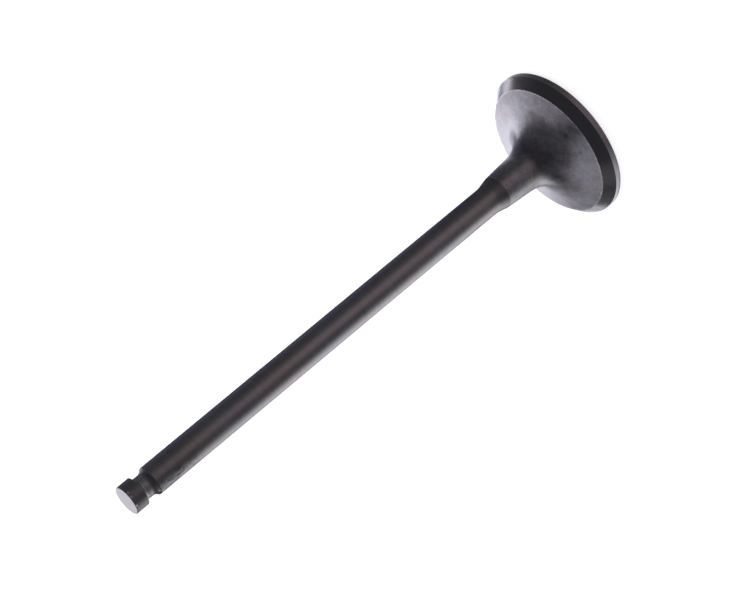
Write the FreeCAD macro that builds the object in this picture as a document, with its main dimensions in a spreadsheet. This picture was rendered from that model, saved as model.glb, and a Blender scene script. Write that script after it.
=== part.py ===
import FreeCAD, Part
import math
import os
import Sketcher

# Poppet valve of a small four-stroke engine, turned and ground from one forging.
# Millimetres and degrees. The valve stands on its flat head face: origin at the
# middle of that face, +Z along the stem towards the tip.

# Driving sizes: name, value, what it measures.
SIZES = [
    ("overall_length", 105.5, "head face to tip face"),
    ("stem_diameter", 5.48, "ground stem, for a 5.5 mm guide"),
    ("head_diameter", 29.6, "outside of the margin"),
    ("margin_height", 1.25, "cylindrical rim between the head face and the seat"),
    ("face_edge_radius", 0.2, "rounded rim of the head face"),
    ("seat_angle", 45, "seat cone, from the plane of the head"),
    ("seat_width", 2.4, "width of the ground seat, along its slope"),
    ("underhead_angle", 14, "outer part of the underside, from the plane of the head"),
    ("neck_radius", 8, "concave sweep from the underside into the neck"),
    ("neck_taper", 4.4, "forged neck, each side, narrowing towards the stem"),
    ("ring_step", 0.54, "edge where the ground stem meets the forged neck, out from the stem"),
    ("ring_height", 16.5, "head face to that edge"),
    ("runout_angle", 12.5, "ramp from the edge down to the stem, each side"),
    ("runout_radius", 6.6, "blend from the ramp into the stem"),
    ("tip_chamfer", 0.1, "edge break round the tip face"),
    ("tip_land", 2.58, "tip face to the keeper groove"),
    ("groove_width", 2.6, "keeper groove, at the surface of the stem"),
    ("groove_depth", 0.64, "keeper groove, below the surface of the stem"),
    ("tip_wall_angle", 75, "groove wall on the tip side, from the axis"),
    ("tip_wall_radius", 0.5, "fillet under that wall"),
    ("stem_wall_angle", 48, "groove wall on the stem side, from the axis"),
    ("stem_wall_radius", 1.2, "fillet under that wall"),
    ("groove_edge_radius", 0.3, "rounded edge where the groove meets the stem"),
]

# How far an edge may lie from where it is looked for.
MATCH = 1e-4


def make_sheet(doc):
    """Puts the driving sizes in a sheet, one row each, and returns it."""
    sheet = doc.addObject("Spreadsheet::Sheet", "sizes")
    for row, (name, value, meaning) in enumerate(SIZES, start=1):
        sheet.set(f"A{row}", name)
        sheet.set(f"B{row}", str(value))
        sheet.set(f"C{row}", meaning)
        sheet.setAlias(f"B{row}", name)
    doc.recompute()
    return sheet


def origin_plane(body, role):
    """Finds one of the planes of a body's own origin."""
    return next(item for item in body.Origin.OriginFeatures if item.Role == role)


def make_sketch(body, name):
    """Makes a sketch on the XZ plane, so that its x is a radius and its y a height."""
    sketch = body.newObject("Sketcher::SketchObject", name)
    sketch.AttachmentSupport = (origin_plane(body, "XZ_Plane"), [""])
    sketch.MapMode = "FlatFace"
    return sketch


def direction(angle):
    """Unit vector at an angle in degrees, anticlockwise from outwards."""
    return FreeCAD.Vector(math.cos(math.radians(angle)), math.sin(math.radians(angle)), 0)


def crossing(point_a, way_a, point_b, way_b):
    """Point where the line through point_a meets the line through point_b."""
    turn = way_a.x * way_b.y - way_a.y * way_b.x
    gap = point_b - point_a
    return point_a + way_a * ((gap.x * way_b.y - gap.y * way_b.x) / turn)


def corner_arc(before, corner, after, radius):
    """Arc tangent to both sides of a corner, and its end points on the first and second side."""
    to_before = (before - corner).normalize()
    to_after = (after - corner).normalize()
    half = to_before.getAngle(to_after) / 2
    first = corner + to_before * (radius / math.tan(half))
    second = corner + to_after * (radius / math.tan(half))
    centre = corner + (to_before + to_after).normalize() * (radius / math.sin(half))
    middle = centre + (corner - centre).normalize() * radius
    return Part.Arc(first, middle, second), first, second


def draw_outline(sketch, corners):
    """Draws a closed outline of straight sides. A corner is a point and a radius, 0 for a sharp one.

    Returns the numbers of the sides and, by corner, those of the arcs.
    """
    points = [corner for corner, radius in corners]
    count = len(points)
    starts = list(points)
    ends = points[1:] + points[:1]
    arcs = {}
    for i, (corner, radius) in enumerate(corners):
        if radius:
            curve, ends[i - 1], starts[i] = corner_arc(points[i - 1], corner, points[(i + 1) % count], radius)
            arcs[i] = sketch.addGeometry(curve, False)
    sides = [sketch.addGeometry(Part.LineSegment(starts[i], ends[i]), False) for i in range(count)]
    for i in range(count):
        if i in arcs:
            join_arc(sketch, sides[i - 1], arcs[i], sides[i])
        else:
            sketch.addConstraint(Sketcher.Constraint("Coincident", sides[i - 1], 2, sides[i], 1))
    return sides, arcs


def join_arc(sketch, before, arc, after):
    """Makes an arc run smoothly into the side before it and the side after it."""
    side_end = sketch.getPoint(before, 2)
    arc_start, arc_end = (1, 2) if sketch.getPoint(arc, 1).isEqual(side_end, MATCH) else (2, 1)
    sketch.addConstraint(Sketcher.Constraint("Tangent", before, 2, arc, arc_start))
    sketch.addConstraint(Sketcher.Constraint("Tangent", arc, arc_end, after, 1))


def drive(sketch, name, expression, kind, *where):
    """Adds a dimension that takes its value from the sheet."""
    result = sketch.evalExpression(expression)
    value = getattr(result, "Value", result)
    if kind == "Angle":
        value = math.radians(value)
    number = sketch.addConstraint(Sketcher.Constraint(kind, *where, value))
    sketch.renameConstraint(number, name)
    sketch.setExpression(f"Constraints.{name}", expression)


def lay_flat(sketch, *sides):
    """Makes sides square to the axis."""
    for side in sides:
        sketch.addConstraint(Sketcher.Constraint("Horizontal", side))


def lay_upright(sketch, *sides):
    """Makes sides parallel to the axis."""
    for side in sides:
        sketch.addConstraint(Sketcher.Constraint("Vertical", side))


def turn_blank(body, size):
    """Turns the whole valve but for its groove and edge breaks: head, seat, neck, run-out and stem."""
    head = size.head_diameter / 2
    stem = size.stem_diameter / 2
    top = size.overall_length
    rim = FreeCAD.Vector(head, size.margin_height, 0)
    seat_inner = rim + direction(180 - size.seat_angle) * size.seat_width
    ring = FreeCAD.Vector(stem + size.ring_step, size.ring_height, 0)
    underhead = direction(180 - size.underhead_angle)
    neck = direction(90 + size.neck_taper)
    ramp = direction(90 + size.runout_angle)
    along = direction(90)
    stem_top = FreeCAD.Vector(stem, top, 0)
    corners = [
        (FreeCAD.Vector(0, 0, 0), 0),
        (FreeCAD.Vector(head, 0, 0), 0),
        (rim, 0),
        (seat_inner, 0),
        (crossing(seat_inner, underhead, ring, neck), size.neck_radius),
        (ring, 0),
        (crossing(ring, ramp, stem_top, along), size.runout_radius),
        (stem_top, 0),
        (FreeCAD.Vector(0, top, 0), 0),
    ]
    sketch = make_sketch(body, "valve_section")
    sides, arcs = draw_outline(sketch, corners)
    face, margin, seat, underside, neck_side, ramp_side, stem_side, tip, axis = sides
    sketch.addConstraint(Sketcher.Constraint("Coincident", face, 1, -1, 1))
    lay_flat(sketch, face, tip)
    lay_upright(sketch, margin, stem_side, axis)
    drive(sketch, "head_radius", "sizes.head_diameter / 2", "DistanceX", face, 1, face, 2)
    drive(sketch, "margin", "sizes.margin_height", "DistanceY", margin, 1, margin, 2)
    drive(sketch, "seat_slope", "(180 - sizes.seat_angle) * 1 deg", "Angle", seat)
    drive(sketch, "seat_face", "sizes.seat_width", "Distance", seat)
    drive(sketch, "underhead_slope", "(180 - sizes.underhead_angle) * 1 deg", "Angle", underside)
    drive(sketch, "neck_sweep", "sizes.neck_radius", "Radius", arcs[4])
    drive(sketch, "neck_slope", "(90 + sizes.neck_taper) * 1 deg", "Angle", neck_side)
    drive(sketch, "ring_radius", "sizes.stem_diameter / 2 + sizes.ring_step", "DistanceX", -1, 1, neck_side, 2)
    drive(sketch, "ring_level", "sizes.ring_height", "DistanceY", -1, 1, neck_side, 2)
    drive(sketch, "runout_slope", "(90 + sizes.runout_angle) * 1 deg", "Angle", ramp_side)
    drive(sketch, "runout_blend", "sizes.runout_radius", "Radius", arcs[6])
    drive(sketch, "stem_radius", "sizes.stem_diameter / 2", "DistanceX", tip, 2, tip, 1)
    drive(sketch, "length", "sizes.overall_length", "DistanceY", axis, 2, axis, 1)
    blank = body.newObject("PartDesign::Revolution", "turned_blank")
    blank.Profile = sketch
    blank.ReferenceAxis = (sketch, ["V_Axis"])
    blank.Angle = 360
    return sketch, blank


def cut_keeper_groove(body, size):
    """Cuts the round-bottomed groove that the split keepers grip, just below the tip."""
    surface = size.stem_diameter / 2
    root = surface - size.groove_depth
    upper = FreeCAD.Vector(surface, size.overall_length - size.tip_land, 0)
    lower = FreeCAD.Vector(surface, upper.y - size.groove_width, 0)
    tip_wall = direction(270 - size.tip_wall_angle)
    stem_wall = direction(90 + size.stem_wall_angle)
    root_point = FreeCAD.Vector(root, upper.y, 0)
    along = direction(90)
    corners = [
        (upper, 0),
        (crossing(upper, tip_wall, root_point, along), size.tip_wall_radius),
        (crossing(lower, stem_wall, root_point, along), size.stem_wall_radius),
        (lower, 0),
    ]
    sketch = make_sketch(body, "groove_section")
    sides, arcs = draw_outline(sketch, corners)
    tip_side, root_side, stem_side, mouth = sides
    lay_upright(sketch, root_side, mouth)
    drive(sketch, "surface_radius", "sizes.stem_diameter / 2", "DistanceX", -1, 1, mouth, 1)
    drive(sketch, "depth", "sizes.groove_depth", "DistanceX", root_side, 2, mouth, 1)
    drive(sketch, "upper_edge", "sizes.overall_length - sizes.tip_land", "DistanceY", -1, 1, mouth, 2)
    drive(sketch, "width", "sizes.groove_width", "DistanceY", mouth, 1, mouth, 2)
    drive(sketch, "tip_side_slope", "(270 - sizes.tip_wall_angle) * 1 deg", "Angle", tip_side)
    drive(sketch, "tip_side_fillet", "sizes.tip_wall_radius", "Radius", arcs[1])
    drive(sketch, "stem_side_slope", "(sizes.stem_wall_angle - 90) * 1 deg", "Angle", stem_side)
    drive(sketch, "stem_side_fillet", "sizes.stem_wall_radius", "Radius", arcs[2])
    groove = body.newObject("PartDesign::Groove", "keeper_groove")
    groove.Profile = sketch
    groove.ReferenceAxis = (sketch, ["V_Axis"])
    groove.Angle = 360
    return sketch, groove


def round_edge(feature, radius, height):
    """Names the circular edge of a feature that has this radius and lies at this height."""
    for number, edge in enumerate(feature.Shape.Edges, start=1):
        curve = edge.Curve
        if not isinstance(curve, Part.Circle) or abs(curve.Radius - radius) > MATCH:
            continue
        if abs(curve.Center.z - height) < MATCH:
            return f"Edge{number}"
    raise RuntimeError(f"{feature.Name} has no round edge of radius {radius} at height {height}")


def break_edge(body, kind, name, base, radius, height, prop, alias):
    """Breaks one round edge with a chamfer or a fillet whose size comes from the sheet."""
    broken = body.newObject(f"PartDesign::{kind}", name)
    broken.Base = (base, [round_edge(base, radius, height)])
    broken.setExpression(prop, f"sizes.{alias}")
    body.Document.recompute()
    return broken


def check(doc, body, sketches, blank, groove):
    """Stops with a message if anything failed, so that only a sound valve is written."""
    for item in doc.Objects:
        if "Invalid" in item.State or "Error" in item.State:
            raise RuntimeError(f"{item.Name} failed: {item.State}")
    for sketch in sketches:
        if not sketch.FullyConstrained:
            raise RuntimeError(f"{sketch.Name} is not fully constrained")
    if blank.Shape.Volume - groove.Shape.Volume <= 0:
        raise RuntimeError("the keeper groove cuts nothing")
    if body.Shape.isNull() or not body.Shape.isValid() or len(body.Shape.Solids) != 1:
        raise RuntimeError("the valve is not one sound solid")


def build_valve(doc, size):
    """Builds the valve and returns its body."""
    body = doc.addObject("PartDesign::Body", "valve")
    body.Label = "valve"
    valve_section, blank = turn_blank(body, size)
    doc.recompute()
    groove_section, groove = cut_keeper_groove(body, size)
    doc.recompute()
    head = size.head_diameter / 2
    stem = size.stem_diameter / 2
    top = size.overall_length
    groove_end = top - size.tip_land - size.groove_width
    step = break_edge(body, "Chamfer", "tip_edge", groove, stem, top, "Size", "tip_chamfer")
    step = break_edge(body, "Fillet", "groove_edge", step, stem, groove_end, "Radius", "groove_edge_radius")
    break_edge(body, "Fillet", "face_edge", step, head, 0, "Radius", "face_edge_radius")
    body.Placement = FreeCAD.Placement()
    doc.recompute()
    check(doc, body, [valve_section, groove_section], blank, groove)
    return body


def main():
    doc = FreeCAD.newDocument("engine_valve")
    size = make_sheet(doc)
    valve = build_valve(doc, size)
    os.makedirs("parts", exist_ok=True)
    valve.Shape.exportStep(f"parts/{valve.Label}.step")
    print(f"{valve.Label}: {valve.Shape.Volume:.1f} mm3, {len(valve.Shape.Faces)} faces")


main()
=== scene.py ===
import math

import bpy
from mathutils import Matrix, Vector, noise


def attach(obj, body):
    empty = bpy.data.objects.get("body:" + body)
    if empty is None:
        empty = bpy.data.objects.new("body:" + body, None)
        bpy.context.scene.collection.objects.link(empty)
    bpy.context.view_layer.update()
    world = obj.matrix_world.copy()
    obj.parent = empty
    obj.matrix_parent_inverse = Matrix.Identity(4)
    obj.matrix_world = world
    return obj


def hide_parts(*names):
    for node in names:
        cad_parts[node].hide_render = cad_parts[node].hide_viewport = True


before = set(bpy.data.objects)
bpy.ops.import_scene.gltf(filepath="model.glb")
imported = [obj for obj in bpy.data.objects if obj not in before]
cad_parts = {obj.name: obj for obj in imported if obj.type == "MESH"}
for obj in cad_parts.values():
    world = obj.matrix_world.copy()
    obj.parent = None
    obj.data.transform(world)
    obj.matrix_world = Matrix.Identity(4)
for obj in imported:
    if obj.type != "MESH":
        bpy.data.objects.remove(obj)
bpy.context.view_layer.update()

# Sizes of the valve in millimetres and degrees, as in the solid.
MM = 0.001
HEAD_RADIUS = 14.8
MARGIN_HEIGHT = 1.25
SEAT_WIDTH = 2.4
SEAT_ANGLE = 45
UNDERHEAD_ANGLE = 14
NECK_SWEEP = 8.0
NECK_TAPER = 4.4
RUNOUT_ANGLE = 12.5
RUNOUT_BLEND = 6.6
STEM_RADIUS = 2.74
STEM_MIDDLE = 50
TOP = 105.5
TIP_CHAMFER = 0.1
GROOVE_LOW = 100.32
GROOVE_HIGH = 102.92
GROOVE_DEPTH = 0.64
GROOVE_LOW_WALL = 48
GROOVE_HIGH_WALL = 75
GROOVE_LIP = 0.3
GROOVE_LOW_FILLET = 1.2
GROOVE_HIGH_FILLET = 0.5

# Radius and height of the sharp ring where the ground run-out meets the forged neck.
NECK_RING = (3.28, 16.5)

# Small radii that the edges really have, in millimetres.
FACE_EDGE = 0.2
CRISP_EDGE = 0.05
FINE_EDGE = 0.03

# Steps that the mesh has round the valve, and the fewest that it has along a rounded corner.
SEGMENTS = 288
CORNER_STEPS = 4

# A straight side has a point near each end: END_GAP millimetres in, or one of END_PARTS equal parts of the
# side if that is less.
END_GAP = 0.06
END_PARTS = 5

# Names of the surfaces, in the order of the material slots.
SURFACES = ["head_face", "margin", "seat", "forged", "ground", "groove", "land", "tip"]


def put(name, data):
    """Puts a mesh, a lamp or a camera into the scene as an object."""
    made = bpy.data.objects.new(name, data)
    bpy.context.scene.collection.objects.link(made)
    return made


def around(turn, reach, height):
    """The point at an angle in degrees from the front, a distance from the axis, and a height."""
    angle = math.radians(turn)
    return Vector((reach * math.sin(angle), -reach * math.cos(angle), height))


def slant(angle):
    """Unit vector in the section plane at an angle in degrees, anticlockwise from outwards."""
    return Vector((math.cos(math.radians(angle)), math.sin(math.radians(angle))))


def crossing(point_a, way_a, point_b, way_b):
    """Point where the line through point_a meets the line through point_b."""
    turn = way_a.x * way_b.y - way_a.y * way_b.x
    gap = point_b - point_a
    return point_a + way_a * ((gap.x * way_b.y - gap.y * way_b.x) / turn)


def section_corners():
    """Corners of the section from the middle of the head face to the middle of the tip.

    Each is a point, its radius, and for the side that follows: its surface and the length of its steps.
    """
    rim = Vector((HEAD_RADIUS, MARGIN_HEIGHT))
    seat_inner = rim + slant(180 - SEAT_ANGLE) * SEAT_WIDTH
    ring = Vector(NECK_RING)
    along = slant(90)
    stem = Vector((STEM_RADIUS, STEM_MIDDLE))
    root = Vector((STEM_RADIUS - GROOVE_DEPTH, STEM_MIDDLE))
    groove_low = Vector((STEM_RADIUS, GROOVE_LOW))
    groove_high = Vector((STEM_RADIUS, GROOVE_HIGH))
    neck_corner = crossing(seat_inner, slant(180 - UNDERHEAD_ANGLE), ring, slant(90 + NECK_TAPER))
    runout_corner = crossing(ring, slant(90 + RUNOUT_ANGLE), stem, along)
    low_corner = crossing(groove_low, slant(90 + GROOVE_LOW_WALL), root, along)
    high_corner = crossing(groove_high, slant(270 - GROOVE_HIGH_WALL), root, along)
    return [
        (Vector((0, 0)), 0, "head_face", 1.2),
        (Vector((HEAD_RADIUS, 0)), FACE_EDGE, "margin", 0.2),
        (rim, CRISP_EDGE, "seat", 0.2),
        (seat_inner, CRISP_EDGE, "forged", 0.24),
        (neck_corner, NECK_SWEEP, "forged", 0.24),
        (ring, CRISP_EDGE, "ground", 0.3),
        (runout_corner, RUNOUT_BLEND, "ground", 0.9),
        (groove_low, GROOVE_LIP, "groove", 0.1),
        (low_corner, GROOVE_LOW_FILLET, "groove", 0.12),
        (high_corner, GROOVE_HIGH_FILLET, "groove", 0.1),
        (groove_high, CRISP_EDGE, "land", 0.12),
        (Vector((STEM_RADIUS, TOP - TIP_CHAMFER)), FINE_EDGE, "land", 0.04),
        (Vector((STEM_RADIUS - TIP_CHAMFER, TOP)), FINE_EDGE, "tip", 0.3),
        (Vector((0, TOP)), 0, "tip", 0.3),
    ]


def corner_points(before, corner, after, radius, pitch):
    """Points along the arc of a rounded corner, both ends included."""
    to_before = (before - corner).normalized()
    to_after = (after - corner).normalized()
    half = to_before.angle(to_after) / 2
    first = corner + to_before * (radius / math.tan(half))
    centre = corner + (to_before + to_after).normalized() * (radius / math.sin(half))
    sweep = math.pi - 2 * half
    steps = max(CORNER_STEPS, math.ceil(sweep * radius / pitch))
    spoke = first - centre
    sign = 1 if to_before.y * to_after.x - to_before.x * to_after.y > 0 else -1
    turned = []
    for step in range(steps + 1):
        angle = sign * sweep * step / steps
        turned.append(centre + Matrix.Rotation(angle, 2) @ spoke)
    return turned


def side_points(start, end, pitch):
    """Points inside a straight side, with one close to each end so that the shading stays true."""
    length = (end - start).length
    close = min(END_GAP, length / END_PARTS)
    inner = max(1, round((length - 2 * close) / pitch))
    places = [close + (length - 2 * close) * k / inner for k in range(inner + 1)]
    way = (end - start).normalized()
    return [start + way * place for place in places]


def section():
    """The whole section as points in millimetres, and the surface that each step belongs to."""
    corners = section_corners()
    points = [corners[0][0]]
    surfaces = []
    for i in range(1, len(corners)):
        corner, radius, surface, pitch = corners[i]
        side_surface, side_pitch = corners[i - 1][2:]
        arc = [corner]
        if radius:
            step = min(pitch, side_pitch)
            arc = corner_points(corners[i - 1][0], corner, corners[i + 1][0], radius, step)
        straight = side_points(points[-1], arc[0], side_pitch)
        points += straight + arc
        arc_steps = len(arc) - 1
        surfaces += [side_surface] * (len(straight) + 1 + arc_steps // 2)
        surfaces += [surface] * (arc_steps - arc_steps // 2)
    return points, surfaces


def section_reach(height):
    """Distance from the axis to the surface at a height above the margin, in millimetres."""
    points = section()[0]
    above = min((point for point in points if point.y >= height), key=lambda point: point.y)
    return above.x


def surface_at(height):
    """Name of the surface at a height above the seat, in millimetres."""
    for surface, lowest in (("land", GROOVE_HIGH), ("groove", GROOVE_LOW), ("ground", NECK_RING[1])):
        if height > lowest:
            return surface
    return "forged"


# Small dents: degrees round the valve from the front, height, radius and depth in millimetres, and how many
# times as bright the steel is in them: above one where it is bare, below one where dirt has settled.
DENTS = [
    (18.2, 105.12, 0.17, 0.05, 3.5),
    (1.0, 105.16, 0.15, 0.05, 3.0),
    (-38.2, 105.2, 0.2, 0.06, 4.0),
    (-56.7, 100.44, 0.28, 0.03, 3.0),
    (28.7, 4.06, 0.2, 0.03, 1.9),
    (1.2, 3.78, 0.5, 0.03, 0.7),
    (-21.5, 3.61, 0.5, 0.03, 0.75),
    (143.0, 3.9, 0.3, 0.03, 0.75),
    (201.0, 105.16, 0.16, 0.05, 3.0),
    (254.0, 105.1, 0.14, 0.04, 3.0),
]

# A dent has the shape of a bell: how steep it is, and at how many radii from its middle it ends.
DENT_STEEPNESS = 2
DENT_REACH = 2

# The forged skin lies up to this far inside the true form, in swells of this size, both in millimetres.
# The swells carry finer ones, this many times smaller and with this share of their height.
FORGED_UNEVEN = 0.03
FORGED_PATCH = 3.0
FINER_BY = 2.3
FINER_SHARE = 0.5


def unevenness(place, surface):
    """How far a point of a surface lies inside the true form, in millimetres."""
    if surface != "forged":
        return 0.0
    swell = noise.noise(place / FORGED_PATCH) + FINER_SHARE * noise.noise(place * (FINER_BY / FORGED_PATCH))
    return FORGED_UNEVEN * min(1.0, max(0.0, (1 + swell) / 2))


def dent_depth(place):
    """How deep the dents are at a point, in millimetres."""
    reach = math.hypot(place.x, place.y)
    depth = 0.0
    for turn, height, radius, deepest, _ in DENTS:
        gap = (place - around(turn, reach, height)).length / radius
        if gap < DENT_REACH:
            depth = max(depth, deepest * math.exp(-DENT_STEEPNESS * gap * gap))
    return depth


def skin_points(points, surfaces):
    """Points of the turned skin in millimetres: the lowest, then ring by ring, and the highest."""
    skin = [Vector((0, 0, points[0].y))]
    for i in range(1, len(points) - 1):
        slope = (points[i + 1] - points[i - 1]).normalized()
        surface = surfaces[i] if surfaces[i] == surfaces[i - 1] else "border"
        for k in range(SEGMENTS):
            turn = 2 * math.pi * k / SEGMENTS
            out = Vector((math.cos(turn), math.sin(turn)))
            place = Vector((points[i].x * out.x, points[i].x * out.y, points[i].y))
            normal = Vector((slope.y * out.x, slope.y * out.y, -slope.x))
            sunk = unevenness(place, surface)
            if surface not in ("head_face", "tip"):
                sunk += dent_depth(place)
            skin.append(place - normal * sunk)
    skin.append(Vector((0, 0, points[-1].y)))
    return skin


def skin_faces(rows):
    """Faces of the turned skin, row by row: three-sided in the first and the last row, else four-sided."""
    faces = []
    for row in range(rows):
        high = 1 + row * SEGMENTS
        low = high - SEGMENTS
        for k in range(SEGMENTS):
            after = (k + 1) % SEGMENTS
            if row == 0:
                faces.append((0, high + after, high + k))
            elif row == rows - 1:
                faces.append((low + k, low + after, high))
            else:
                faces.append((low + k, low + after, high + after, high + k))
    return faces


def build_valve():
    """Turns the section round Z into one closed mesh with its surfaces as material slots."""
    points, surfaces = section()
    faces = skin_faces(len(surfaces))
    slots = [SURFACES.index(surface) for surface in surfaces for _ in range(SEGMENTS)]
    mesh = bpy.data.meshes.new("turned_valve")
    mesh.from_pydata([place * MM for place in skin_points(points, surfaces)], [], faces)
    mesh.polygons.foreach_set("material_index", slots)
    mesh.polygons.foreach_set("use_smooth", [True] * len(faces))
    mesh.update()
    return put("turned_valve", mesh)


def add(tree, kind, inputs=None, **settings):
    """Adds a node. An input is a value or the output of another node."""
    made = tree.nodes.new(kind)
    for name, value in settings.items():
        setattr(made, name, value)
    for name, value in (inputs or {}).items():
        if isinstance(value, bpy.types.NodeSocket):
            tree.links.new(value, made.inputs[name])
        else:
            made.inputs[name].default_value = value
    return made


def empty_material(name):
    """A material of nodes with none in it yet, and its tree."""
    material = bpy.data.materials.new(name)
    material.use_nodes = True
    material.node_tree.nodes.clear()
    return material, material.node_tree


def clouds(tree, place, stretch, detail, rough, shift):
    """Noise in the space of the valve. stretch says how many patches go to a metre along X, Y and Z."""
    inputs = {"Vector": place, "Scale": stretch, "Location": (shift, shift, shift)}
    moved = add(tree, "ShaderNodeMapping", inputs).outputs[0]
    inputs = {"Vector": moved, "Scale": 1.0, "Detail": detail, "Roughness": rough}
    return add(tree, "ShaderNodeTexNoise", inputs).outputs["Fac"]


def span(tree, value, low, high, to_low=0.0, to_high=1.0):
    """Maps low to high onto to_low to to_high, clamped."""
    inputs = {"Value": value, "From Min": low, "From Max": high, "To Min": to_low, "To Max": to_high}
    return add(tree, "ShaderNodeMapRange", inputs).outputs[0]


def blend(tree, share, first, second):
    """Mixes two colours."""
    return add(tree, "ShaderNodeMix", {0: share, 6: first, 7: second}, data_type="RGBA").outputs[2]


def sums(tree, kind, first, second):
    """One sum of two numbers: ADD, MULTIPLY, MAXIMUM and so on."""
    return add(tree, "ShaderNodeMath", {0: first, 1: second}, operation=kind).outputs[0]


def output(tree, *shaders):
    """Gives a material the sum of some shaders as its surface."""
    total = shaders[0].outputs[0]
    for shader in shaders[1:]:
        total = add(tree, "ShaderNodeAddShader", {0: total, 1: shader.outputs[0]}).outputs[0]
    add(tree, "ShaderNodeOutputMaterial", {"Surface": total})


def mixed(tree, *parts):
    """Adds up values, each with its weight."""
    total = 0.0
    for value, weight in parts:
        total = sums(tree, "ADD", total, sums(tree, "MULTIPLY", value, weight))
    return total


def any_of(tree, values):
    """The largest of some values."""
    largest = 0.0
    for value in values:
        largest = sums(tree, "MAXIMUM", largest, value)
    return largest


def scaled(tree, value, mark, times):
    """A value that is multiplied by times where a mark is one, and left alone where it is zero."""
    return sums(tree, "MULTIPLY", value, span(tree, mark, 0.0, 1.0, 1.0, times))


def nearness(tree, place, turn, height, radius, soft):
    """One near the point of the valve at an angle from the front and a height, and zero beyond a radius.

    soft is the share of the radius in which it fades. Degrees and millimetres.
    """
    centre = around(turn, section_reach(height) * MM, height * MM)
    gap = add(tree, "ShaderNodeVectorMath", {0: place, 1: centre}, operation="DISTANCE").outputs["Value"]
    return span(tree, gap, radius * MM * (1 - soft), radius * MM, 1.0, 0.0)


# Steel has two casts, a cold and a slightly brown one.
COLD = (0.99, 0.97, 1.05)
WARM = (1.04, 0.965, 1.01)

# For each surface: its dark and light tone, the roughness of its shiny and its dull patches, the size of
# its clouds and of its turning lines in millimetres, how strong these are in its tone, how deep the lines
# are in millimetres, and how bright it is where it is seen along itself.
STEELS = {
    "head_face": dict(dark=0.16, light=0.23, gloss=(0.35, 0.45), grain=6, line=0.4, cloudy=0.6, lined=0.4,
                      relief=0.002, edge=0.9),
    "margin": dict(dark=0.088, light=0.106, gloss=(0.24, 0.32), grain=3, line=0.15, cloudy=0.6, lined=0.2,
                   relief=0.001, edge=0.8),
    "seat": dict(dark=0.1, light=0.12, gloss=(0.2, 0.26), grain=4, line=0.12, cloudy=0.5, lined=0.3,
                 relief=0.0006, edge=0.9),
    "forged": dict(dark=0.165, light=0.26, gloss=(0.35, 0.43), grain=2.2, line=0.9, cloudy=0.9, lined=0.15,
                   relief=0.003, edge=0.9),
    "ground": dict(dark=0.086, light=0.106, gloss=(0.27, 0.35), grain=5, line=0.3, cloudy=0.6, lined=0.3,
                   relief=0.001, edge=0.65),
    "groove": dict(dark=0.115, light=0.15, gloss=(0.36, 0.44), grain=1.5, line=0.12, cloudy=0.6, lined=0.3,
                   relief=0.0015, edge=0.5),
    "land": dict(dark=0.072, light=0.096, gloss=(0.27, 0.35), grain=2, line=0.2, cloudy=0.6, lined=0.3,
                 relief=0.001, edge=0.65),
    "tip": dict(dark=0.212, light=0.238, gloss=(0.34, 0.42), grain=1.5, line=0.2, cloudy=0.6, lined=0.2,
                relief=0.0005, edge=0.9),
}

# Kinds of noise in the steel: the detail and roughness of each, and a shift that sets it apart.
CLOUD = (4.0, 0.6, 0.0)
MOTTLE = (3.0, 0.65, 9.1)
LINES = (2.0, 0.6, 3.7)
CASTS = (2.0, 0.5, 21.3)
SPECKS = (1.0, 0.5, 5.2)
BLOTCHES = (3.0, 0.7, 14.0)

# How many times as many patches there are as the clouds have across the valve: in the clouds along the
# valve, in the mottle, and in the casts.
CLOUD_ALONG = 0.7
MOTTLE_FINER = 3.5
CASTS_COARSER = 0.5

# Turning lines: how many patches to a metre they have on their way round the valve, and how much the
# distance from the axis counts next to the height, so that a flat face has them too.
LINE_CHANGES = 25
LINE_REACH = 0.5

# Shares of the clouds and the mottle in the tone and in the roughness, and of the lines and the mottle in
# the relief.
TONE_SHARES = (0.55, 0.45)
GLOSS_SHARES = (0.6, 0.4)
RELIEF_SHARES = (0.7, 0.5)

# Between which values of the noise the steel changes: this far to each side of the middle for the tone, and
# from the first value to the second for the cast and the roughness.
TONE_SPREAD = 0.1
CASTS_SPREAD = (0.4, 0.6)
GLOSS_SPREAD = (0.38, 0.62)

# Worn edges, and a painted highlight on the edge of the head face: the height of each and how wide its mark
# is, in millimetres. The lowest, round the head face, is the painted highlight; the others are wear. Then
# the share of that width that is fully bright, the values of the mottle between which the mark breaks up,
# how much is left of it in the gaps, and how many times as bright it is.
WORN_AND_HIGHLIT_EDGES = [(0.1, 0.14), (2.95, 0.07), (100.3, 0.12), (102.93, 0.12), (105.42, 0.07)]
WEAR_AND_HIGHLIGHT_CORE = 0.3
WEAR_AND_HIGHLIGHT_BREAKS = (0.42, 0.58)
LEAST_WEAR_AND_HIGHLIGHT = 0.25
WEAR_AND_HIGHLIGHT_TONE = 1.5

# How far the tone of a dent reaches, in radii of the dent, and in what share of that it fades.
DENT_MARK = 1.2
DENT_SOFT = 0.5

# The forged neck carries painted shade, darker than the underside of the head, and is a little glossier:
# between which two heights in millimetres it changes, and what share of tone and roughness is left above
# them.
NECK_CHANGE = (4.2, 8.0)
NECK_SHADE_TONE = 0.46
NECK_GLOSS = 0.85

# Bright specks of the forged skin: patches of their noise to a metre, the values of it between which they
# appear, and how many times as bright they are.
SPECK_PATCHES = 2600
SPECK_SPREAD = (0.7, 0.76)
SPECK_TONE = 1.5

# Painted shade on the forged sweep, in patches on its -X side: degrees round the valve from the front,
# height and radius in millimetres. Then the share of the radius in which they fade, and the share of the
# brightness left in them.
SWEEP_SHADES = [(-60, 6.6, 2.2), (-76, 6.2, 2.6), (-96, 5.6, 2.4)]
SWEEP_SHADE_SOFT = 0.8
SWEEP_SHADE_TONE = 0.5

# The ground run-out is darkest at the neck ring, and as bright as the stem this many millimetres above it.
RUNOUT_TONE = 0.68
RUNOUT_FADE = 4.5
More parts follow.
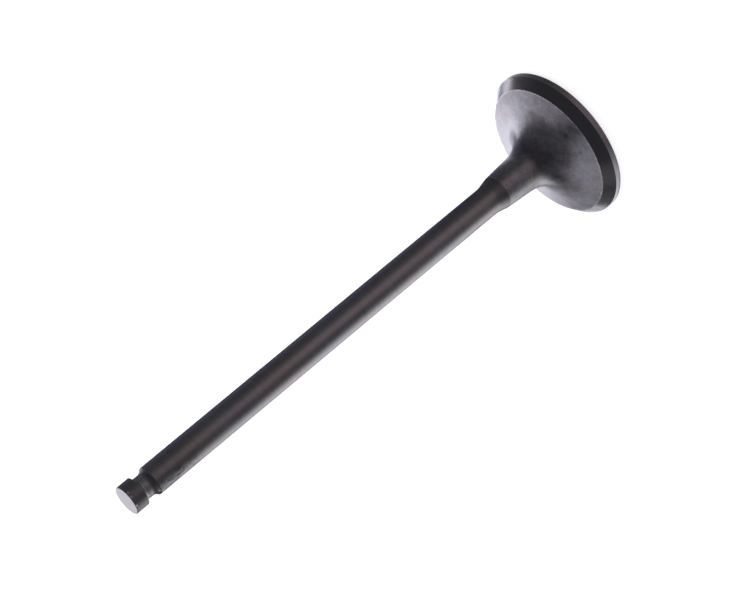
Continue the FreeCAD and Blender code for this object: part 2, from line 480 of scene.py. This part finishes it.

# Painted shade on the stem, in patches below the groove on its -X side: degrees round the valve from the
# front, height and radius in millimetres. Then their fading and their tone, as for the painted shade on the
# sweep, and how much they add to the roughness. Blotches break them up: their patches to a metre along X, Y
# and Z, and the values of their noise between which they appear.
STEM_SHADES = [(-62, 98.6, 2.6), (-50, 96.0, 2.2), (-66, 93.6, 2.4), (-44, 99.6, 1.6)]
STEM_SHADE_SOFT = 0.7
STEM_SHADE_TONE = 0.45
STEM_SHADE_ROUGHER = 0.06
BLOTCH_PATCHES = (900, 900, 700)
BLOTCH_SPREAD = (0.44, 0.58)

# The tip darkens at its rim: over this many millimetres, to this share.
TIP_RIM = 0.1
TIP_RIM_TONE = 0.5


def tone(level, cast):
    """A steel colour of a linear brightness."""
    return (level * cast[0], level * cast[1], level * cast[2], 1.0)


def edge_wear_and_highlight(tree, height, mottle):
    """One on the worn edges and on the painted highlight round the head face, broken up by noise."""
    near = []
    for level, width in WORN_AND_HIGHLIT_EDGES:
        gap = sums(tree, "ABSOLUTE", sums(tree, "SUBTRACT", height, level * MM), 0.0)
        near.append(span(tree, gap, width * WEAR_AND_HIGHLIGHT_CORE * MM, width * MM, 1.0, 0.0))
    return sums(tree, "MULTIPLY", any_of(tree, near), span(tree, mottle, *WEAR_AND_HIGHLIGHT_BREAKS, LEAST_WEAR_AND_HIGHLIGHT, 1.0))


def mark_forged(tree, place, height, roughness):
    """Brightness and roughness of the forged skin, with the painted shade on its neck and on its sweep, and
    its specks.
    """
    # Painted shade: the neck above NECK_CHANGE is darker than the underside of the head.
    neck = span(tree, height, NECK_CHANGE[0] * MM, NECK_CHANGE[1] * MM)
    strength = scaled(tree, 1.0, neck, NECK_SHADE_TONE)
    roughness = scaled(tree, roughness, neck, NECK_GLOSS)
    specks = clouds(tree, place, (SPECK_PATCHES,) * 3, *SPECKS)
    strength = sums(tree, "MULTIPLY", strength, span(tree, specks, *SPECK_SPREAD, 1.0, SPECK_TONE))
    # Painted shade in patches on the -X side of the sweep.
    sweep_shades = [nearness(tree, place, *sweep_shade, SWEEP_SHADE_SOFT) for sweep_shade in SWEEP_SHADES]
    return scaled(tree, strength, any_of(tree, sweep_shades), SWEEP_SHADE_TONE), roughness


def mark_ground(tree, place, height, roughness):
    """Brightness and roughness of the ground stem, with its darker run-out and its painted shade below the
    groove.
    """
    low = NECK_RING[1]
    strength = span(tree, height, low * MM, (low + RUNOUT_FADE) * MM, RUNOUT_TONE, 1.0)
    blotches = span(tree, clouds(tree, place, BLOTCH_PATCHES, *BLOTCHES), *BLOTCH_SPREAD)
    # Painted shade in patches on the stem below the groove, which also makes it rougher there.
    stem_shades = [nearness(tree, place, *stem_shade, STEM_SHADE_SOFT) for stem_shade in STEM_SHADES]
    stem_shade = sums(tree, "MULTIPLY", any_of(tree, stem_shades), blotches)
    strength = scaled(tree, strength, stem_shade, STEM_SHADE_TONE)
    return strength, sums(tree, "ADD", roughness, sums(tree, "MULTIPLY", stem_shade, STEM_SHADE_ROUGHER))


def steel(surface, dark, light, gloss, grain, line, cloudy, lined, relief, edge):
    """The steel of one surface: cloudy and lined in tone, uneven in gloss, bright on its edges from wear
    and a painted highlight.
    """
    material, tree = empty_material(surface + "_steel")
    place = add(tree, "ShaderNodeTexCoord").outputs["Object"]
    parts = add(tree, "ShaderNodeSeparateXYZ", {"Vector": place}).outputs
    flat = add(tree, "ShaderNodeVectorMath", {0: place, 1: (1, 1, 0)}, operation="MULTIPLY").outputs[0]
    reach = add(tree, "ShaderNodeVectorMath", {0: flat}, operation="LENGTH").outputs["Value"]
    along = mixed(tree, (parts["Z"], 1.0), (reach, LINE_REACH))
    turned = add(tree, "ShaderNodeCombineXYZ", {"X": parts["X"], "Y": parts["Y"], "Z": along}).outputs[0]

    patch = 1 / (grain * MM)
    cloud = clouds(tree, place, (patch, patch, patch * CLOUD_ALONG), *CLOUD)
    mottle = clouds(tree, place, (patch * MOTTLE_FINER,) * 3, *MOTTLE)
    lines = clouds(tree, turned, (LINE_CHANGES, LINE_CHANGES, 1 / (line * MM)), *LINES)
    cast = span(tree, clouds(tree, place, (patch * CASTS_COARSER,) * 3, *CASTS), *CASTS_SPREAD)

    level = mixed(tree, (cloud, TONE_SHARES[0] * cloudy), (mottle, TONE_SHARES[1] * cloudy), (lines, lined))
    middle = (cloudy + lined) / 2
    level = span(tree, level, middle - TONE_SPREAD, middle + TONE_SPREAD)
    cold = blend(tree, level, tone(dark, COLD), tone(light, COLD))
    warm = blend(tree, level, tone(dark, WARM), tone(light, WARM))
    colour = blend(tree, cast, cold, warm)
    dull = mixed(tree, (cloud, GLOSS_SHARES[0]), (mottle, GLOSS_SHARES[1]))
    roughness = span(tree, dull, *GLOSS_SPREAD, *gloss)

    strength = 1.0
    if surface == "forged":
        strength, roughness = mark_forged(tree, place, parts["Z"], roughness)
    if surface == "ground":
        strength, roughness = mark_ground(tree, place, parts["Z"], roughness)
    if surface == "tip":
        rim = (STEM_RADIUS - TIP_CHAMFER) * MM
        strength = span(tree, reach, rim - TIP_RIM * MM, rim, 1.0, TIP_RIM_TONE)
    else:
        # Wear on the edges, and a painted highlight on the edge of the head face.
        strength = scaled(tree, strength, edge_wear_and_highlight(tree, parts["Z"], mottle), WEAR_AND_HIGHLIGHT_TONE)
    for turn, height, radius, _, times in DENTS:
        if surface_at(height) == surface:
            near = nearness(tree, place, turn, height, radius * DENT_MARK, DENT_SOFT)
            strength = scaled(tree, strength, near, times)
    colour = add(tree, "ShaderNodeVectorMath", {0: colour, "Scale": strength}, operation="SCALE").outputs[0]

    raised = mixed(tree, (lines, RELIEF_SHARES[0]), (mottle, RELIEF_SHARES[1]))
    bump = add(tree, "ShaderNodeBump", {"Height": raised, "Strength": 1.0, "Distance": relief * MM})
    shader = add(tree, "ShaderNodeBsdfPrincipled", {
        "Base Color": colour,
        "Metallic": 1.0,
        "Roughness": roughness,
        "Normal": bump.outputs[0],
        "Specular Tint": (edge, edge, edge, 1.0),
    })
    output(tree, shader)
    return material


def dress(valve):
    """Gives each surface of the valve its own steel."""
    for surface in SURFACES:
        valve.data.materials.append(steel(surface, **STEELS[surface]))


# The camera of the photograph: where it stands in metres, how far it looks down and is rolled in degrees,
# its focal length in pixels of the photograph, the width of its sensor in millimetres, and between which
# distances it sees, in metres.
CAMERA_PLACE = (-0.000744, -0.358634, 0.209927)
CAMERA_DOWN = 24.2267
CAMERA_ROLL = 129.7832
PICTURE_WIDTH = 748
FOCAL_PIXELS = 2272.01
SENSOR = 36.0
HALF_PIXEL = 0.5 / PICTURE_WIDTH
CLIP_NEAR = 0.01
CLIP_FAR = 50


def set_camera():
    """Puts the camera where the photograph was taken from."""
    lens = bpy.data.cameras.new("camera")
    lens.sensor_fit = "HORIZONTAL"
    lens.sensor_width = SENSOR
    lens.lens = SENSOR * FOCAL_PIXELS / PICTURE_WIDTH
    lens.shift_x = -HALF_PIXEL
    lens.shift_y = HALF_PIXEL
    lens.clip_start = CLIP_NEAR
    lens.clip_end = CLIP_FAR
    camera = put("camera", lens)
    pitch = Matrix.Rotation(math.radians(90 - CAMERA_DOWN), 4, "X")
    roll = Matrix.Rotation(math.radians(-CAMERA_ROLL), 4, "Z")
    camera.matrix_world = Matrix.Translation(CAMERA_PLACE) @ pitch @ roll
    bpy.context.scene.camera = camera


# The floor: half its width and how far it lies below the valve in metres, its colour, and the light that
# is added where it is seen, so that it shows as white.
FLOOR_HALF = 4.0
FLOOR_DROP = 0.00002
FLOOR_COLOUR = (0.8, 0.8, 0.8, 1.0)
FLOOR_GLOW = 0.8


def lay_floor():
    """Lays a plain white floor that keeps the shadow of the valve."""
    corners = [(-1, -1), (1, -1), (1, 1), (-1, 1)]
    points = [(x * FLOOR_HALF, y * FLOOR_HALF, -FLOOR_DROP) for x, y in corners]
    mesh = bpy.data.meshes.new("floor")
    mesh.from_pydata(points, [], [(0, 1, 2, 3)])
    material, tree = empty_material("white_paper")
    path = add(tree, "ShaderNodeLightPath").outputs
    seen = any_of(tree, [path["Is Camera Ray"], path["Is Glossy Ray"], path["Is Transmission Ray"]])
    level = sums(tree, "MULTIPLY", seen, FLOOR_GLOW)
    paper = add(tree, "ShaderNodeBsdfDiffuse", {"Color": FLOOR_COLOUR})
    glow = add(tree, "ShaderNodeEmission", {"Color": (1, 1, 1, 1), "Strength": level})
    output(tree, paper, glow)
    mesh.materials.append(material)
    put("floor", mesh)


# Soft boxes: name, azimuth from the front towards +X and elevation of the middle as seen from the valve,
# then distance, width and height in metres, brightness and colour.
COOL = (0.98, 0.98, 1.06)
SOFT_BOXES = [
    ("rear_box", 160, 17, 0.9, 0.92, 0.66, 2.0, COOL),
    ("top_box", -158, 48, 0.9, 0.9, 0.5, 0.6, COOL),
    ("rear_strip", 162, 3, 0.85, 0.9, 0.14, 2.3, COOL),
    ("left_box", -108, 36, 0.9, 0.6, 0.4, 0.3, COOL),
]
SOFT_BOX_AIM = (0, 0, 0.05)


def hang_lamps():
    """Hangs the soft boxes, all turned to the middle of the valve."""
    for name, azimuth, elevation, distance, width, height, level, colour in SOFT_BOXES:
        rise = math.radians(elevation)
        way = around(azimuth, math.cos(rise), math.sin(rise))
        lamp = bpy.data.lights.new(name, "AREA")
        lamp.shape = "RECTANGLE"
        lamp.size = width
        lamp.size_y = height
        lamp.energy = level * math.pi * width * height
        lamp.color = colour
        hung = put(name, lamp)
        hung.visible_camera = False
        hung.rotation_euler = way.to_track_quat("Z", "Y").to_euler()
        hung.location = Vector(SOFT_BOX_AIM) + way * distance


# Rings of card that lie on the floor round the valve and show only in its gloss. Each has its inner and
# outer radius in metres, and stops round the valve: azimuth in degrees from the front towards +X, the
# share of the floor that shows through, and the brightness and colour of its own light.
WHITE = (1.0, 1.0, 1.0)
HAZE = (0.92, 0.94, 1.15)
SKY = (0.15, 0.2, 1.0)
RUDDY = (1.0, 0.75, 0.8)
RINGS = {
    "rim_ring": (0.0151, 0.0245, [
        (-180, 0.6, 0.2, HAZE), (-135, 0.5, 0.2, HAZE), (-118, 0.9, 1.0, HAZE), (-96, 1.0, 1.8, WHITE),
        (-60, 1.0, 2.4, WHITE), (-48, 1.0, 1.9, WHITE), (-38, 0.7, 0.7, WHITE), (-26, 0.4, 0.3, RUDDY),
        (-5, 0.35, 0.6, RUDDY), (10, 0.35, 0.6, RUDDY), (28, 0.3, 0.2, RUDDY), (42, 0.3, 0.0, WHITE),
        (58, 0.35, 0.0, WHITE), (70, 0.5, 0.1, HAZE), (84, 0.75, 0.2, HAZE), (102, 0.8, 0.6, HAZE),
        (114, 1.0, 2.4, HAZE), (136, 1.0, 2.4, HAZE), (150, 1.0, 1.2, HAZE), (180, 0.8, 0.4, HAZE)]),
    "near_ring": (0.0245, 0.034, [
        (-180, 0.7, 0.0, WHITE), (-165, 0.7, 0.0, WHITE), (-150, 0.3, 0.1, SKY), (-130, 0.4, 0.6, HAZE),
        (-112, 0.5, 1.0, WHITE), (-98, 0.7, 1.1, WHITE), (-80, 0.8, 0.6, WHITE), (-66, 0.6, 0.1, WHITE),
        (-48, 0.4, 0.0, WHITE), (-28, 0.4, 0.2, RUDDY), (-10, 0.35, 0.6, RUDDY), (14, 0.35, 0.65, RUDDY),
        (32, 0.3, 0.2, RUDDY), (48, 0.25, 0.0, WHITE), (108, 0.18, 0.05, SKY), (124, 0.3, 0.15, SKY),
        (138, 0.25, 0.2, SKY), (154, 0.1, 0.15, SKY), (180, 0.4, 0.0, WHITE)]),
    "middle_ring": (0.034, 0.06, [
        (-180, 0.7, 0.4, HAZE), (-168, 0.5, 0.1, HAZE), (-150, 0.2, 0.1, SKY), (-136, 1.0, 1.8, WHITE),
        (-114, 1.0, 3.6, WHITE), (-98, 1.0, 3.2, WHITE), (-80, 1.0, 1.8, WHITE), (-66, 0.6, 0.2, WHITE),
        (-48, 0.4, 0.0, WHITE), (-28, 0.4, 0.2, RUDDY), (-10, 0.35, 0.65, RUDDY), (14, 0.35, 0.7, RUDDY),
        (32, 0.3, 0.2, RUDDY), (48, 0.25, 0.0, WHITE), (120, 0.15, 0.12, SKY), (152, 0.1, 0.2, SKY),
        (166, 0.7, 0.4, HAZE), (180, 0.7, 0.4, HAZE)]),
    "outer_ring": (0.06, 0.36, [
        (-180, 0.5, 0.0, WHITE), (-160, 0.7, 0.1, WHITE), (-146, 1.0, 1.4, WHITE), (-130, 1.0, 3.5, WHITE),
        (-108, 1.0, 3.4, WHITE), (-96, 1.0, 2.2, WHITE), (-80, 1.0, 0.95, WHITE), (-68, 0.6, 0.15, WHITE),
        (-48, 0.36, 0.0, WHITE), (-26, 0.36, 0.1, RUDDY), (-8, 0.35, 0.75, RUDDY), (14, 0.35, 0.85, RUDDY),
        (32, 0.33, 0.3, RUDDY), (50, 0.32, 0.0, WHITE), (90, 0.24, 0.05, SKY), (112, 0.4, 0.15, SKY),
        (130, 0.42, 0.25, SKY), (150, 0.06, 0.3, SKY), (170, 0.02, 0.3, SKY), (180, 0.4, 0.3, SKY)]),
    "far_ring": (0.36, 1.2, [
        (-180, 1.0, 0.8, WHITE), (-166, 1.0, 0.6, WHITE), (-156, 0.3, 0.0, WHITE), (-66, 0.2, 0.0, WHITE),
        (100, 0.3, 0.0, WHITE), (150, 0.3, 0.0, WHITE), (168, 0.8, 0.3, WHITE), (180, 1.0, 0.8, WHITE)]),
}

# The rings: how high they lie in metres, how many steps they have round, and what brightness a one stands
# for in their colour ramps, which hold no more than one.
RING_LIFT = 0.00001
RING_STEPS = 96
RING_BRIGHTEST = 4.0


def ramp(tree, share, colours):
    """A colour that changes smoothly with a share from zero to one."""
    made = add(tree, "ShaderNodeValToRGB", {"Fac": share})
    stops = made.color_ramp.elements
    while len(stops) < len(colours):
        stops.new(1.0)
    for stop, (position, colour) in zip(stops, colours):
        stop.position = position
        stop.color = (*colour, 1.0)
    return made.outputs["Color"]


def ring_mesh(name, near, far):
    """A flat ring round the axis, between two radii."""
    points = []
    for step in range(RING_STEPS):
        turn = 360 * step / RING_STEPS
        points += [around(turn, radius, RING_LIFT) for radius in (near, far)]
    count = len(points)
    faces = [(k, (k + 2) % count, (k + 3) % count, k + 1) for k in range(0, count, 2)]
    mesh = bpy.data.meshes.new(name)
    mesh.from_pydata(points, [], faces)
    return mesh


def ring_material(name, stops):
    """Lets some of the floor show through and adds light of its own, both by the azimuth."""
    material, tree = empty_material(name)
    place = add(tree, "ShaderNodeTexCoord").outputs["Object"]
    parts = add(tree, "ShaderNodeSeparateXYZ", {"Vector": place}).outputs
    turn = sums(tree, "ARCTAN2", parts["X"], sums(tree, "MULTIPLY", parts["Y"], -1.0))
    share = span(tree, turn, -math.pi, math.pi)
    kept = []
    lit = []
    for azimuth, through, level, colour in stops:
        position = (azimuth + 180) / 360
        kept.append((position, (through,) * 3))
        lit.append((position, [level / RING_BRIGHTEST * part for part in colour]))
    light = add(tree, "ShaderNodeEmission", {"Color": ramp(tree, share, lit), "Strength": RING_BRIGHTEST})
    clear = add(tree, "ShaderNodeBsdfTransparent", {"Color": ramp(tree, share, kept)})
    output(tree, light, clear)
    return material


def lay_rings():
    """Lays the rings of card round the valve."""
    for name, (near, far, stops) in RINGS.items():
        ring = put(name, ring_mesh(name, near, far))
        ring.data.materials.append(ring_material(name, stops))
        ring.visible_camera = False
        ring.visible_diffuse = False
        ring.visible_shadow = False


# Brightness of the studio round the valve: at the horizon and straight behind there, and above the horizon
# in front and behind.
HORIZON_LIGHT = 0.15
REAR_HORIZON_LIGHT = 2.0
FRONT_LIGHT = 0.16
REAR_LIGHT = 0.36

# Where the studio changes, by the unit vector of a direction: between which Y from front to rear, at the
# horizon and above it, and up to which Z from the horizon to what is above.
REAR_HORIZON_CHANGE = (0.93, 0.995)
REAR_CHANGE = (0.1, 0.7)
HORIZON_HEIGHT = 0.13
STUDIO_COLOUR = (0.97, 0.98, 1.08, 1.0)


def set_world():
    """Lights the scene from a plain studio, pale at the horizon behind, dimmer in front."""
    world = bpy.data.worlds.new("studio")
    bpy.context.scene.world = world
    world.use_nodes = True
    tree = world.node_tree
    tree.nodes.clear()
    way = add(tree, "ShaderNodeTexCoord").outputs["Generated"]
    parts = add(tree, "ShaderNodeSeparateXYZ", {"Vector": way}).outputs
    dome = span(tree, parts["Y"], *REAR_CHANGE, FRONT_LIGHT, REAR_LIGHT)
    horizon = span(tree, parts["Y"], *REAR_HORIZON_CHANGE, HORIZON_LIGHT, REAR_HORIZON_LIGHT)
    level = span(tree, parts["Z"], 0.0, HORIZON_HEIGHT, horizon, dome)
    background = add(tree, "ShaderNodeBackground", {"Color": STUDIO_COLOUR, "Strength": level})
    add(tree, "ShaderNodeOutputWorld", {"Surface": background.outputs[0]})


bpy.context.scene.view_settings.view_transform = "Standard"
set_camera()
valve = build_valve()
dress(valve)
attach(valve, "root")
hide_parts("valve")
lay_floor()
hang_lamps()
lay_rings()
set_world()
